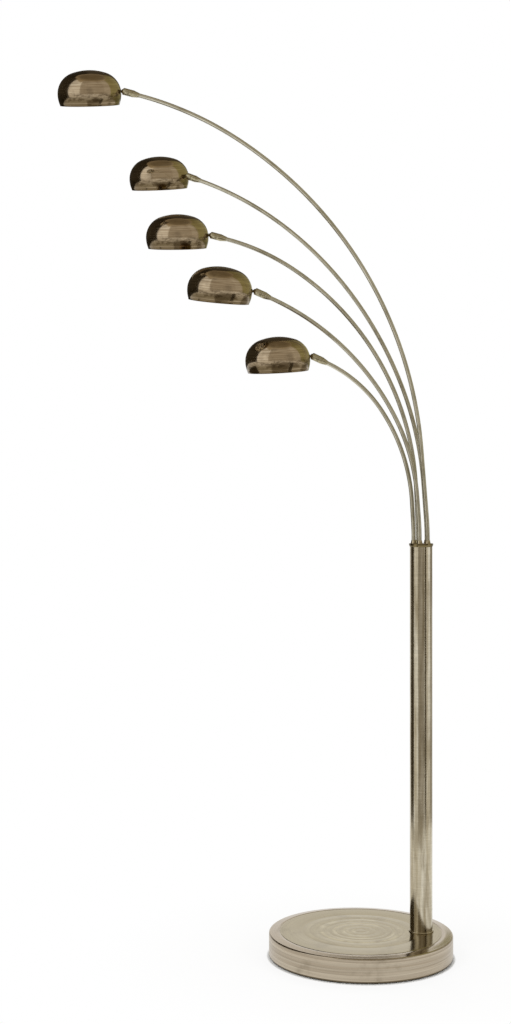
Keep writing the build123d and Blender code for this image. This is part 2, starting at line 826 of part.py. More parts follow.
def make_lamp_holder(arm):
    """Holder screwed on the stud inside the dome, open toward the bulb."""
    frame = shifted(pivot_frame(arm), z=holder_start)
    nose_radius = holder_nose_diameter / 2
    body_radius = holder_diameter / 2
    mouth_radius = bulb_cap_diameter / 2 + bulb_cap_clearance
    stud_bore = stud_radius + column_fit
    stud_end = pivot_to_shade + stud_length + axial_clearance - holder_start
    front = holder_nose_length + holder_length
    with BuildPart() as holder:
        with BuildSketch(section(frame)):
            with BuildLine():
                Polyline(
                    (stud_bore, 0),
                    (nose_radius, 0),
                    (nose_radius, holder_nose_length),
                    (body_radius - holder_edge_chamfer, holder_nose_length),
                    (body_radius, holder_nose_length + holder_edge_chamfer),
                    (body_radius, front),
                    (mouth_radius, front),
                    (mouth_radius, front - holder_mouth_depth),
                    (0, front - holder_mouth_depth),
                    (0, stud_end),
                    (stud_bore, stud_end),
                    close=True,
                )
            make_face()
        revolve(axis=axis_of(frame))
    save(holder, f"arm{arm.number}_lamp_holder")


def make_bulb(arm):
    """Round bulb: a hollow glass and its cap in one, with the cap in the holder."""
    frame = shifted(pivot_frame(arm), z=bulb_start)
    radius = bulb_diameter / 2
    centre = bulb_length - radius
    neck = bulb_neck_diameter / 2
    cap = bulb_cap_diameter / 2
    collar = bulb_collar_diameter / 2
    inside = radius - bulb_wall
    neck_inside = neck - bulb_wall
    neck_z = centre - sqrt(radius**2 - neck**2)
    neck_inside_z = centre - sqrt(inside**2 - neck_inside**2)
    with BuildPart() as bulb:
        with BuildSketch(section(frame)):
            with BuildLine():
                Polyline(
                    (neck_inside, neck_inside_z),
                    (collar - bulb_wall, bulb_cap_length + bulb_wall),
                    (cap - bulb_wall, bulb_cap_length),
                    (cap - bulb_wall, bulb_wall),
                    (bulb_contact_bore / 2, bulb_wall),
                    (bulb_contact_bore / 2, 0),
                    (cap, 0),
                    (cap, bulb_cap_length),
                    (collar, bulb_cap_length),
                    (neck, neck_z),
                )
                ThreePointArc((neck, neck_z), (radius, centre), (0, bulb_length))
                Line((0, bulb_length), (0, bulb_length - bulb_wall))
                ThreePointArc(
                    (0, bulb_length - bulb_wall), (inside, centre), (neck_inside, neck_inside_z)
                )
            make_face()
        revolve(axis=axis_of(frame))
    save(bulb, f"arm{arm.number}_bulb")


for arm in ARMS:
    make_arm_tube(arm)
    make_ferrule(arm)
    make_swivel_ball(arm)
    make_pivot_pin(arm)
    make_shade(arm)
    make_shade_stud(arm)
    make_lamp_holder(arm)
    make_bulb(arm)
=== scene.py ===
from collections import namedtuple
from math import asin, atan2, cos, degrees, pi, radians, sin, sqrt

import bmesh
import bpy
from mathutils import Matrix, Vector


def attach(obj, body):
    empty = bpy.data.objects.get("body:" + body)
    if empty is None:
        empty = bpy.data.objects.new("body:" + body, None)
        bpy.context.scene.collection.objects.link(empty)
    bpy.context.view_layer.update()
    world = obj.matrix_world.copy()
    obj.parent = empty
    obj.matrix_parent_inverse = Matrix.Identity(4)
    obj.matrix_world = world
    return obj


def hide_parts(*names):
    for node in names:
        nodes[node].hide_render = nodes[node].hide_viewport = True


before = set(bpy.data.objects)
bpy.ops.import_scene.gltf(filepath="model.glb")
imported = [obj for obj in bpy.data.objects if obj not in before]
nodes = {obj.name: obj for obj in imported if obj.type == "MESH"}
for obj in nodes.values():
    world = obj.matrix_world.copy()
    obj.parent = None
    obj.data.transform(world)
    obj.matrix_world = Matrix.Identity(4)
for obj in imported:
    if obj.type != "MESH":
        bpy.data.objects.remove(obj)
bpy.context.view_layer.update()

MM = 0.001
scene = bpy.context.scene

# ------------------------------------------------ sizes in mm and turns in degrees, as in the CAD

BASE_RADIUS = 220.0
SHELL_BOTTOM = 3.0
SHELL_WALL = 1.5
BASE_TOP = 60.0
RIM_WIDTH = 27.0
RIM_DROP = 2.5
EDGE_ROUND = 3.5
COLUMN_X = 145.0
COLUMN_RADIUS = 27.0
COLUMN_WALL = 1.5
COLUMN_TOP = 982.0
CAP_TOP = 990.0
DIMMER_HEIGHT = 105.0
DIMMER_HEADING = 58.0
STEM_BOTTOM = 820.0
STEM_MIDDLE = 905.0
BEND_START = 999.0
LEAN_RADIUS = 700.0
ARM_CIRCLE_RADIUS = 18.0
TUBE_RADIUS = 5.0
TUBE_WALL = 1.0
TUBE_IN_FERRULE = 22.0
FERRULE_RADIUS = 8.4
FERRULE_FRONT = 18.0
CUP_RADIUS = 6.5
PARTITION = (5.0, 9.0)
PARTITION_BORE = 3.56
PIVOT_DISTANCE = 16.4
PIVOT_TO_SHADE = 7.4
STUD_HEIGHT = 32.0
SHADE_RADIUS = 77.0
SHADE_WALL = 1.0
SHOULDER_RADIUS = 52.0
CROWN_RADIUS = 130.0
WIDEST = 27.0
RIM_INSET = 5.5
HOLDER_NOSE = 5.0
HOLDER_NOSE_RADIUS = 5.0
HOLDER_LENGTH = 36.0
HOLDER_GAP = 0.1
BULB_RADIUS = 22.5
BULB_LENGTH = 78.0
BULB_IN_HOLDER = 22.0

Arm = namedtuple(
    "Arm", "number hole heading lean rise arch_radius arch_turn tip_radius tip_turn roll tilt"
)
ARMS = (
    Arm(1, 2, 3.0, 4.6, 164.0, 986.0, 52.7, 828.0, 17.4, 16.0, 15.0),
    Arm(2, 3, 24.0, 4.3, 79.0, 817.0, 18.7, 960.0, 45.5, 13.0, 18.0),
    Arm(3, 4, 6.5, 2.5, 94.0, 677.0, 53.6, 554.0, 18.5, 11.0, 14.5),
    Arm(4, 1, -7.2, 4.4, 51.0, 490.0, 22.6, 611.0, 39.7, 10.0, 19.0),
    Arm(5, 0, -11.0, 3.3, 49.0, 431.0, 31.5, 323.0, 31.2, 6.5, 28.0),
)

# ------------------------------------------------------------------ camera and studio

CAMERA_PLACE = (-0.309, -3.888, 1.166)

camera_data = bpy.data.cameras.new("camera")
camera_data.lens = 56.95
camera_data.sensor_width = 36.0
camera_data.sensor_fit = "AUTO"
camera_data.shift_x = 0.023
camera_data.shift_y = -0.041
camera_data.clip_end = 60.0
camera = bpy.data.objects.new("camera", camera_data)
camera.location = CAMERA_PLACE
camera.rotation_euler = (radians(90), 0, 0)
scene.collection.objects.link(camera)
scene.camera = camera
scene.view_settings.view_transform = "Standard"


class Shader:
    """Short ways to place and join the nodes of one material or node group."""

    def __init__(self, tree):
        self.tree = tree

    def add(self, kind, inputs=None, **settings):
        node = self.tree.nodes.new(kind)
        for name, value in settings.items():
            setattr(node, name, value)
        for name, value in (inputs or {}).items():
            self.put(node, name, value)
        return node

    def put(self, node, name, value):
        if isinstance(value, bpy.types.NodeSocket):
            self.tree.links.new(value, node.inputs[name])
        else:
            node.inputs[name].default_value = value

    def maths(self, operation, first, second=0.0):
        return self.add("ShaderNodeMath", {0: first, 1: second}, operation=operation).outputs[0]

    def times(self, first, second):
        return self.maths("MULTIPLY", first, second)

    def vector(self, operation, first, second=(0.0, 0.0, 0.0)):
        return self.add("ShaderNodeVectorMath", {0: first, 1: second}, operation=operation).outputs

    def scaled(self, vector, scale):
        node = self.add("ShaderNodeVectorMath", {0: vector, "Scale": scale}, operation="SCALE")
        return node.outputs[0]

    def joined(self, x, y=0.0, z=0.0):
        return self.add("ShaderNodeCombineXYZ", {0: x, 1: y, 2: z}).outputs[0]

    def mixed_shader(self, amount, first, second):
        return self.add("ShaderNodeMixShader", {0: amount, 1: first, 2: second}).outputs[0]

    def mix(self, amount, first, second):
        """Colour mixed from first to second by amount."""
        node = self.add("ShaderNodeMix", {0: amount}, data_type="RGBA")
        self.put(node, 6, first)
        self.put(node, 7, second)
        return node.outputs[2]

    def spread(self, value, low, high, to_low=0.0, to_high=1.0):
        """A value brought from low..high to to_low..to_high, with soft ends."""
        ends = {"From Min": low, "From Max": high, "To Min": to_low, "To Max": to_high}
        node = self.add(
            "ShaderNodeMapRange", {"Value": value, **ends}, interpolation_type="SMOOTHSTEP"
        )
        return node.outputs["Result"]

    def noise(self, vector, scale, detail=2.0, roughness=0.5):
        sizes = {"Scale": scale, "Detail": detail, "Roughness": roughness}
        return self.add("ShaderNodeTexNoise", {"Vector": vector, **sizes}).outputs["Fac"]

    def seen(self):
        """1 for what the camera, a mirror or glass sees, and 0 for what lights the lamp."""
        rays = self.add("ShaderNodeLightPath").outputs
        mirrored = self.maths("MAXIMUM", rays["Is Glossy Ray"], rays["Is Transmission Ray"])
        return self.maths("MAXIMUM", rays["Is Camera Ray"], mirrored)


def rgb(red, green, blue):
    """Colour socket value from display values of 0 to 255."""
    linear = []
    for value in (red, green, blue):
        share = value / 255
        linear.append(share / 12.92 if share <= 0.04045 else ((share + 0.055) / 1.055) ** 2.4)
    return (*linear, 1.0)


def piece_place(build):
    """Where a point is on the piece, in the lamp's frame."""
    return build.add("ShaderNodeTexCoord").outputs["Object"]


PALE_EDGE = 0.6  # brightness that a card with an edge fades to
WIDEST_CARD = 32  # degrees that one upright card takes at most


def empty_paint(name):
    """Material with no nodes yet, and the way to build them."""
    paint = bpy.data.materials.new(name)
    paint.use_nodes = True
    paint.node_tree.nodes.clear()
    return paint, Shader(paint.node_tree)


def card(name, centre, width, height, turn, brightness, colour, edge=None):
    """Studio card that only reflections see. With an edge in metres it grows paler there."""
    mesh = bpy.data.meshes.new(name)
    w, h = width / 2, height / 2
    mesh.from_pydata([(-w, 0, -h), (w, 0, -h), (w, 0, h), (-w, 0, h)], [], [(0, 1, 2, 3)])
    panel = bpy.data.objects.new(name, mesh)
    panel.location = centre
    panel.rotation_euler = turn
    scene.collection.objects.link(panel)
    paint, build = empty_paint(name)
    glow = build.add("ShaderNodeEmission", {"Color": (*colour, 1.0), "Strength": brightness})
    if edge:
        out = build.vector("LENGTH", piece_place(build))["Value"]
        reach = min(width, height) / 2
        build.put(glow, "Strength", build.spread(out, reach - edge, reach, brightness, PALE_EDGE))
    build.add("ShaderNodeOutputMaterial", {"Surface": glow.outputs[0]})
    mesh.materials.append(paint)
    panel.visible_camera = False
    panel.visible_diffuse = False
    panel.visible_shadow = False


def card_around(name, azimuths, heights, brightness, colour, distance=4.5, middle=-0.1):
    """Upright cards from one azimuth to another: 0 is toward -Y, positive toward +X.

    distance is how far they stand from the upright line at x = middle, in metres.
    """
    first, last = azimuths
    low, high = heights
    count = max(1, round((last - first) / WIDEST_CARD))
    step = (last - first) / count
    width = 2 * distance * sin(radians(step) / 2)
    for number in range(count):
        angle = radians(first + step * (number + 0.5))
        away = distance * cos(radians(step) / 2)
        centre = (away * sin(angle) + middle, -away * cos(angle), (low + high) / 2)
        card(f"{name}_{number + 1}", centre, width, high - low, (0, 0, angle), brightness, colour)


def set_world():
    """White surroundings where they are seen, and softer light from them on the lamp."""
    world = bpy.data.worlds.new("studio")
    scene.world = world
    world.use_nodes = True
    world.node_tree.nodes.clear()
    build = Shader(world.node_tree)
    white = build.add("ShaderNodeBackground", {"Color": (1, 1, 1, 1), "Strength": 1.0})
    soft = build.add("ShaderNodeBackground", {"Color": (1, 0.985, 0.96, 1), "Strength": 0.55})
    both = build.mixed_shader(build.seen(), soft.outputs[0], white.outputs[0])
    build.add("ShaderNodeOutputWorld", {"Surface": both})


def set_lamps():
    """Soft lamps that metal doesn't mirror."""
    for name, place, aim, size, watts in (
        ("key_lamp", (-2.4, -3.0, 3.4), (0, 0, 1.0), 2.2, 95.0),
        ("fill_lamp", (2.8, -2.6, 2.2), (0, 0, 0.9), 2.4, 45.0),
        ("back_lamp", (0.4, 2.6, 3.4), (0, 0, 1.1), 1.8, 40.0),
    ):
        data = bpy.data.lights.new(name, "AREA")
        data.size = size
        data.energy = watts
        lamp = bpy.data.objects.new(name, data)
        lamp.location = place
        lamp.rotation_euler = (Vector(aim) - Vector(place)).to_track_quat("-Z", "Y").to_euler()
        lamp.visible_glossy = False
        lamp.visible_camera = False
        scene.collection.objects.link(lamp)


def set_floor():
    """Pale floor that keeps the lamp's shadow, a little greyer near the base and dark under it."""
    floor_mesh = bpy.data.meshes.new("floor")
    shape = bmesh.new()
    bmesh.ops.create_circle(shape, cap_ends=True, segments=96, radius=9.0)
    shape.to_mesh(floor_mesh)
    shape.free()
    floor = bpy.data.objects.new("floor", floor_mesh)
    scene.collection.objects.link(floor)
    paint, build = empty_paint("floor")
    base_edge = BASE_RADIUS * MM
    away = build.vector("LENGTH", piece_place(build))["Value"]
    far = build.spread(away, base_edge + 0.006, 0.7, 0.86, 1.0)
    open_floor = build.spread(away, base_edge + 0.0015, base_edge + 0.0075)
    share = build.times(build.times(build.seen(), far), open_floor)
    matte = build.add("ShaderNodeBsdfDiffuse", {"Color": (0.86, 0.86, 0.85, 1)})
    glow = build.add("ShaderNodeEmission", {"Color": (1, 1, 1, 1), "Strength": 1.0})
    both = build.mixed_shader(share, matte.outputs[0], glow.outputs[0])
    build.add("ShaderNodeOutputMaterial", {"Surface": both})
    floor_mesh.materials.append(paint)


def set_cards():
    """Dark and dim cards that give the plated metal its bands, the near ones for the column."""
    umber, cream, ivory = (1.0, 0.82, 0.55), (1.0, 0.92, 0.8), (1.0, 0.94, 0.84)
    olive, chalk, straw = (1.0, 0.95, 0.5), (1.0, 0.95, 0.86), (1.0, 0.88, 0.66)
    top, width, edge = 9.6, 9.4, 2.0
    upper, column = (1.15, top), (0.0, 1.14)
    card_around("left_dark_card", (-165, -79), upper, 0.05, umber)
    card_around("front_dim_card", (-36, 56), upper, 0.52, cream)
    card_around("right_pale_card", (56, 86), upper, 0.6, ivory)
    card_around("right_dim_card", (86, 165), upper, 0.4, olive)
    card_around("back_dark_card", (165, 195), (2.7, top), 0.1, umber)
    near = {"distance": 1.5, "middle": COLUMN_X * MM}
    card_around("column_left_card", (-132, -84), column, 0.09, umber, **near)
    card_around("column_front_card", (-38, 28), column, 0.42, cream, **near)
    card_around("column_right_card", (30, 48), column, 0.12, umber, **near)
    card_around("column_back_card", (96, 150), column, 0.5, chalk, **near)
    card("top_dim_card", (0, 0, top), width, width, (radians(90), 0, 0), 0.34, straw, edge)


set_world()
set_lamps()
set_floor()
set_cards()

# ------------------------------------------------------------------ shared surface effects


def new_group(name, inputs, outputs):
    """Node group. inputs: the value of each, None for a vector. outputs: the kind of each."""
    group = bpy.data.node_groups.new(name, "ShaderNodeTree")
    for title, value in inputs.items():
        kind = "Vector" if value is None else "Color" if isinstance(value, tuple) else "Float"
        socket = group.interface.new_socket(title, in_out="INPUT", socket_type="NodeSocket" + kind)
        if value is not None:
            socket.default_value = value
    for title, kind in outputs.items():
        group.interface.new_socket(title, in_out="OUTPUT", socket_type="NodeSocket" + kind)
    build = Shader(group)
    given = build.add("NodeGroupInput")
    result = build.add("NodeGroupOutput")
    return group, build, given.outputs, result


def round_place(build, vector):
    """Direction round the piece's own Z axis, its distance from that axis, and its height."""
    parts = build.add("ShaderNodeSeparateXYZ", {0: vector}).outputs
    flat = build.joined(parts[0], parts[1])
    return build.vector("NORMALIZE", flat)[0], build.vector("LENGTH", flat)["Value"], parts[2]


def make_turned_marks():
    """Fine marks that a lathe or a brushing wheel leaves round a piece's own axis."""
    inputs = {"Vector": None, "Round": 1.2, "Across": 400.0}
    outputs = {"Streaks": "Float", "Fine": "Float"}
    group, build, given, result = new_group("turned_marks", inputs, outputs)
    way, out, height = round_place(build, given["Vector"])
    level = build.maths("ADD", out, height)
    turned = build.scaled(way, given["Round"])
    around = build.add("ShaderNodeSeparateXYZ", {0: turned}).outputs
    coarse_level = build.times(level, given["Across"])
    coarse = build.joined(around[0], around[1], coarse_level)
    fine = build.joined(around[0], around[1], build.times(coarse_level, 4.0))
    streaks = build.noise(coarse, 1.0, 3.0, 0.6)
    build.put(result, "Streaks", build.spread(streaks, 0.3, 0.7))
    build.put(result, "Fine", build.noise(fine, 1.0, 2.0, 0.6))
    return group


def make_drawn_marks():
    """Fine marks along a tube. The vector's X is the turn round it (0 to 1), Y metres along it."""
    inputs = {"Vector": None, "Round": 8.0, "Along": 4.0}
    outputs = {"Streaks": "Float", "Fine": "Float"}
    group, build, given, result = new_group("drawn_marks", inputs, outputs)
    parts = build.add("ShaderNodeSeparateXYZ", {0: given["Vector"]}).outputs
    turn = build.times(parts[0], 2 * pi)
    side = build.times(build.maths("COSINE", turn), given["Round"])
    front = build.times(build.maths("SINE", turn), given["Round"])
    coarse = build.joined(side, front, build.times(parts[1], given["Along"]))
    fine = build.scaled(coarse, 5.0)
    streaks = build.noise(coarse, 1.0, 3.0, 0.55)
    build.put(result, "Streaks", build.spread(streaks, 0.32, 0.68))
    build.put(result, "Fine", build.noise(fine, 1.0, 2.0, 0.6))
    return group


def make_patina():
    """Soft cloudy patches where the plating has darkened."""
    inputs = {"Vector": None, "Size": 0.03, "Cover": 0.5}
    group, build, given, result = new_group("patina", inputs, {"Patches": "Float"})
    scale = build.maths("DIVIDE", 1.0, given["Size"])
    cloud = build.noise(given["Vector"], scale, 4.0, 0.6)
    edge = build.maths("SUBTRACT", 0.72, build.times(given["Cover"], 0.4))
    softness = 0.12
    low, high = build.maths("SUBTRACT", edge, softness), build.maths("ADD", edge, softness)
    build.put(result, "Patches", build.spread(cloud, low, high))
    return group


def make_plating():
    """Colour and roughness of antique brass plating from its masks."""
    inputs = {
        "Light": (0.5, 0.4, 0.3, 1), "Middle": (0.4, 0.3, 0.2, 1), "Dark": (0.1, 0.08, 0.05, 1),
        "Streaks": 0.5, "Fine": 0.5, "Patches": 0.0, "Smooth": 0.2, "Rough": 0.4,
    }
    outputs = {"Colour": "Color", "Roughness": "Float"}
    group, build, given, result = new_group("plating", inputs, outputs)
    base = build.mix(given["Streaks"], given["Middle"], given["Light"])
    grain = build.spread(given["Fine"], 0.3, 0.7, 0.86, 1.1)
    grained = build.scaled(base, grain)
    build.put(result, "Colour", build.mix(given["Patches"], grained, given["Dark"]))
    worn = build.maths("ADD", build.times(given["Patches"], 0.5), build.times(given["Fine"], 0.5))
    build.put(result, "Roughness", build.spread(worn, 0.0, 1.0, given["Smooth"], given["Rough"]))
    return group


def make_edge_wear():
    """Narrow mask along a piece's outer edges, broken up as rubbing does."""
    inputs = {"Vector": None, "Width": 0.0008}
    group, build, given, result = new_group("edge_wear", inputs, {"Edges": "Float"})
    rounded = build.add("ShaderNodeBevel", {"Radius": given["Width"]}, samples=4)
    flat = build.add("ShaderNodeNewGeometry").outputs["Normal"]
    meet = build.vector("DOT_PRODUCT", rounded.outputs[0], flat)["Value"]
    edge = build.spread(build.maths("SUBTRACT", 1.0, meet), 0.01, 0.12)
    broken = build.spread(build.noise(given["Vector"], 220.0, 3.0), 0.35, 0.6)
    build.put(result, "Edges", build.times(edge, broken))
    return group


turned_marks = make_turned_marks()
drawn_marks = make_drawn_marks()
patina = make_patina()
plating = make_plating()
edge_wear = make_edge_wear()


def use(build, group, inputs):
    """A group placed in a material with its own values; gives its outputs."""
    node = build.add("ShaderNodeGroup", node_tree=group)
    for name, value in inputs.items():
        build.put(node, name, value)
    return node.outputs


def marks_on(build, place, around, across):
    return use(build, turned_marks, {"Vector": place, "Round": around, "Across": across})


def patches_on(build, place, size, cover):
    return use(build, patina, {"Vector": place, "Size": size, "Cover": cover})["Patches"]


def lay_plating(build, surface, tones, masks, roughness):
    """Plating on a surface. tones: light, middle, dark. masks: streaks, fine, patches."""
    values = dict(zip(("Light", "Middle", "Dark"), tones))
    values.update(zip(("Streaks", "Fine", "Patches"), masks))
    values.update(zip(("Smooth", "Rough"), roughness))
    looks = use(build, plating, values)
    build.put(surface, "Base Color", looks["Colour"])
    build.put(surface, "Roughness", looks["Roughness"])


def new_material(name, **constants):
    """Material with one Principled shader, whose plain values are set on its own sockets."""
    material, build = empty_paint(name)
    surface = build.add("ShaderNodeBsdfPrincipled")
    build.add("ShaderNodeOutputMaterial", {"Surface": surface.outputs[0]})
    for title, value in constants.items():
        surface.inputs[title.replace("_", " ")].default_value = value
    return material, build, surface


def relief(build, surface, height, distance):
    """Fine relief. distance is how deep it is, in metres."""
    bump = build.add("ShaderNodeBump", {"Strength": 1.0, "Distance": distance, "Height": height})
    build.put(surface, "Normal", bump.outputs[0])


def own_place(build):
    """Where a point was on the piece before it was placed: its Z is the axis it was turned on."""
    return build.add("ShaderNodeAttribute", attribute_name="own_place").outputs["Vector"]


def brush_round(build, surface):
    """Brushing that runs round the piece, for its stretched highlights."""
    tangent = build.add("ShaderNodeTangent", direction_type="UV_MAP", uv_map="lengthwise")
    build.put(surface, "Tangent", tangent.outputs[0])


def tube_place(build):
    """Turn round a tube (0 to 1) and metres along it."""
    return build.add("ShaderNodeUVMap", uv_map="lengthwise").outputs[0]


def turned_brass(name, tones, marks_size, wear, roughness, brushed=True):
    """Plated metal turned or brushed round its own axis.

    tones: light, middle and dark. marks_size: how often the marks change round the piece and
    across it. wear: how much of it has darkened, and the size of such patches in metres.
    """
    material, build, surface = new_material(name, Metallic=1.0, Anisotropic=0.5 if brushed else 0.0)
    around, across = marks_size
    cover, patch_size = wear
    place = own_place(build)
    marks = marks_on(build, place, around, across)
    patches = patches_on(build, place, patch_size, cover)
    lay_plating(build, surface, tones, (marks["Streaks"], marks["Fine"], patches), roughness)
    if brushed:
        brush_round(build, surface)
    relief(build, surface, marks["Fine"], 0.00004)
    return material


trim_brass = turned_brass(
    "trim_brass", (rgb(204, 192, 164), rgb(172, 158, 126), rgb(104, 88, 60)),
    (1.2, 900.0), (0.2, 0.01), (0.22, 0.4),
)
ferrule_brass = turned_brass(
    "ferrule_brass", (rgb(190, 182, 154), rgb(152, 142, 110), rgb(88, 76, 50)),
    (1.4, 700.0), (0.25, 0.008), (0.2, 0.38),
)
cap_brass = turned_brass(
    "cap_brass", (rgb(140, 126, 92), rgb(112, 98, 64), rgb(60, 48, 26)),
    (1.2, 900.0), (0.3, 0.01), (0.26, 0.44), brushed=False,
)
knuckle_brass = turned_brass(
    "knuckle_brass", (rgb(150, 138, 104), rgb(112, 100, 68), rgb(58, 46, 24)),
    (1.4, 700.0), (0.3, 0.006), (0.26, 0.44), brushed=False,
)
knob_bronze = turned_brass(
    "knob_bronze", (rgb(126, 110, 78), rgb(96, 82, 52), rgb(48, 38, 20)),
    (1.2, 900.0), (0.3, 0.01), (0.28, 0.46), brushed=False,
)


def make_base_side_brass():
    """Side of the base: taupe plating with faint level marks, and painted shade along its lower hem where
    it meets the floor.
    """
    material, build, surface = new_material("base_side_brass", Metallic=1.0, Anisotropic=0.4)
    place = own_place(build)
    marks = marks_on(build, place, 0.5, 190.0)
    patches = patches_on(build, place, 0.06, 0.16)
    # painted shade: the lowest few millimetres of the side are darkened for the shadow gap over the floor
    hem = build.spread(round_place(build, place)[2], 0.0074, 0.0052)
    # darkened joins real patina patches with that painted shade of the hem
    darkened = build.maths("MAXIMUM", build.times(patches, 0.35), build.times(hem, 0.85))
    tones = (rgb(190, 178, 158), rgb(162, 148, 128), rgb(82, 70, 50))
    masks = (marks["Streaks"], marks["Fine"], darkened)
    lay_plating(build, surface, tones, masks, (0.26, 0.42))
    brush_round(build, surface)
    relief(build, surface, marks["Fine"], 0.00003)
    return material


def make_base_top_brass():
    """Base top: khaki plating with turned rings of slightly different sheen and tone."""
    material, build, surface = new_material("base_top_brass", Metallic=1.0, Anisotropic=0.45)
    place = own_place(build)
    marks = marks_on(build, place, 0.8, 420.0)
    patches = patches_on(build, place, 0.07, 0.22)
    out = round_place(build, place)[1]
    rings = build.noise(build.joined(out), 90.0, 1.0)
    broad = build.spread(rings, 0.35, 0.65)
    inner = build.spread(out, 0.15, 0.09)
    broken = build.spread(build.noise(place, 26.0, 3.0, 0.6), 0.42, 0.58)
    inner_rings = build.times(build.times(inner, broken), 0.7)
    rings_share = build.times(broad, build.maths("ADD", 0.1, inner_rings))
    streaks = build.maths("ADD", build.times(marks["Streaks"], 0.3), rings_share)
    rim = build.spread(out, 0.1925, 0.1945)
    middle = build.mix(rim, rgb(150, 135, 98), rgb(168, 152, 128))
    light = build.mix(rim, rgb(184, 170, 132), rgb(192, 178, 156))
    tones = (light, middle, rgb(116, 100, 68))
    masks = (streaks, marks["Fine"], build.times(patches, 0.35))
    lay_plating(build, surface, tones, masks, (0.13, 0.3))
    brush_round(build, surface)
    relief(build, surface, marks["Fine"], 0.00002)
    return material


def make_column_brass():
    """Column: pale antique brass with long streaks that start and stop, over faint fine rings."""
    material, build, surface = new_material("column_brass", Metallic=1.0)
    along = tube_place(build)
    place = own_place(build)
    marks = use(build, drawn_marks, {"Vector": along, "Round": 3.2, "Along": 5.0})
    rings = marks_on(build, place, 0.7, 260.0)
    stretched = build.vector("MULTIPLY", place, (1.0, 1.0, 0.14))[0]
    patches = patches_on(build, stretched, 0.022, 0.4)
    tones = (rgb(210, 202, 182), rgb(172, 160, 134), rgb(128, 114, 86))
    masks = (marks["Streaks"], rings["Fine"], build.times(patches, 0.6))
    lay_plating(build, surface, tones, masks, (0.12, 0.24))
    return material


def make_arm_brass():
    """Arms: greyer satin plating, drawn lengthwise."""
    material, build, surface = new_material("arm_brass", Metallic=1.0)
    along = tube_place(build)
    place = piece_place(build)
    marks = use(build, drawn_marks, {"Vector": along, "Round": 1.6, "Along": 14.0})
    patches = patches_on(build, place, 0.05, 0.34)
    tones = (rgb(206, 201, 182), rgb(182, 176, 154), rgb(136, 128, 102))
    masks = (marks["Streaks"], marks["Fine"], build.times(patches, 0.5))
    lay_plating(build, surface, tones, masks, (0.24, 0.42))
    relief(build, surface, marks["Fine"], 0.00005)
    return material


def make_shade_bronze():
    """Outside of the shades: dark bronze, lighter round the belt, with painted shade and darker patina at
    crown and rim.

    crown, rim, line, low and painted_skirt_shade are bands of height, in metres above the rim. line is a
    painted highlight, low holds painted reflections, and painted_skirt_shade is painted shade below the
    belt.
    """
    material, build, surface = new_material("shade_bronze", Metallic=1.0, Anisotropic=0.25)
    place = own_place(build)
    marks = marks_on(build, place, 0.9, 760.0)
    height = round_place(build, place)[2]
    # crown and rim: darker patina together with painted shade
    crown = build.spread(height, 0.05, 0.074)
    rim = build.spread(height, 0.0085, 0.0055)
    # line: a pale band above the rolled rim, a painted highlight
    line = build.times(
        build.spread(height, 0.006, 0.0072), build.spread(height, 0.0096, 0.0082)
    )
    # low: the band of height where the painted reflections lie
    low = build.times(build.spread(height, 0.008, 0.014), build.spread(height, 0.036, 0.024))
    # painted reflections: flattened dark blotches, kept to the low band
    flattened = build.vector("MULTIPLY", place, (1.0, 1.0, 2.6))[0]
    painted_reflection_mottles = patches_on(build, flattened, 0.013, 0.5)
    clouds = patches_on(build, place, 0.035, 0.35)
    # patches: painted reflections in the low band, with real patina clouds all over
    patches = build.maths(
        "MAXIMUM",
        build.times(build.times(painted_reflection_mottles, low), 0.7),
        build.times(clouds, 0.3),
    )
    # painted shade and darker patina toward the crown
    middle = build.mix(crown, rgb(160, 140, 112), rgb(124, 104, 74))
    light = build.mix(crown, rgb(198, 180, 152), rgb(146, 124, 94))
    # painted shade: the lower part below the belt is darkened
    painted_skirt_shade = build.spread(height, 0.032, 0.012)
    middle = build.mix(painted_skirt_shade, middle, rgb(108, 92, 66))
    light = build.mix(painted_skirt_shade, light, rgb(132, 116, 88))
    # painted shade and darker patina along the rim
    middle = build.mix(rim, middle, rgb(88, 70, 46))
    # painted highlight along the line above the rim
    light = build.mix(build.times(line, 0.6), light, rgb(200, 180, 150))
    tones = (light, middle, rgb(66, 50, 28))
    masks = (marks["Streaks"], marks["Fine"], patches)
    lay_plating(build, surface, tones, masks, (0.1, 0.24))
    brush_round(build, surface)
    relief(build, surface, marks["Fine"], 0.00001)
    return material


def make_shade_lining():
    """Inside of the shades: satin warm white paint with a trace of spinning rings."""
    material, build, surface = new_material("shade_lining", Metallic=0.0, Specular_IOR_Level=0.45)
    place = own_place(build)
    marks = marks_on(build, place, 0.8, 300.0)
    dust = patches_on(build, place, 0.03, 0.3)
    build.put(surface, "Base Color", build.mix(dust, rgb(232, 227, 214), rgb(208, 200, 182)))
    build.put(surface, "Roughness", build.spread(marks["Fine"], 0.3, 0.7, 0.36, 0.5))
    relief(build, surface, marks["Fine"], 0.00005)
    return material


def make_moulding(name, colour, dusty, smooth, rough, grain_depth):
    """Moulded plastic or rubber with a fine grain and a little dust."""
    material, build, surface = new_material(name, Metallic=0.0, Specular_IOR_Level=0.45)
    place = piece_place(build)
    grain = build.noise(place, 2600.0, 2.0)
    dust = patches_on(build, place, 0.012, 0.35)
    worn = use(build, edge_wear, {"Vector": place, "Width": 0.0006})["Edges"]
    paint = build.mix(build.times(dust, 0.35), colour, dusty)
    build.put(surface, "Base Color", build.mix(build.times(worn, 0.4), paint, dusty))
    build.put(surface, "Roughness", build.spread(grain, 0.3, 0.7, smooth, rough))
    relief(build, surface, grain, grain_depth)
    return material


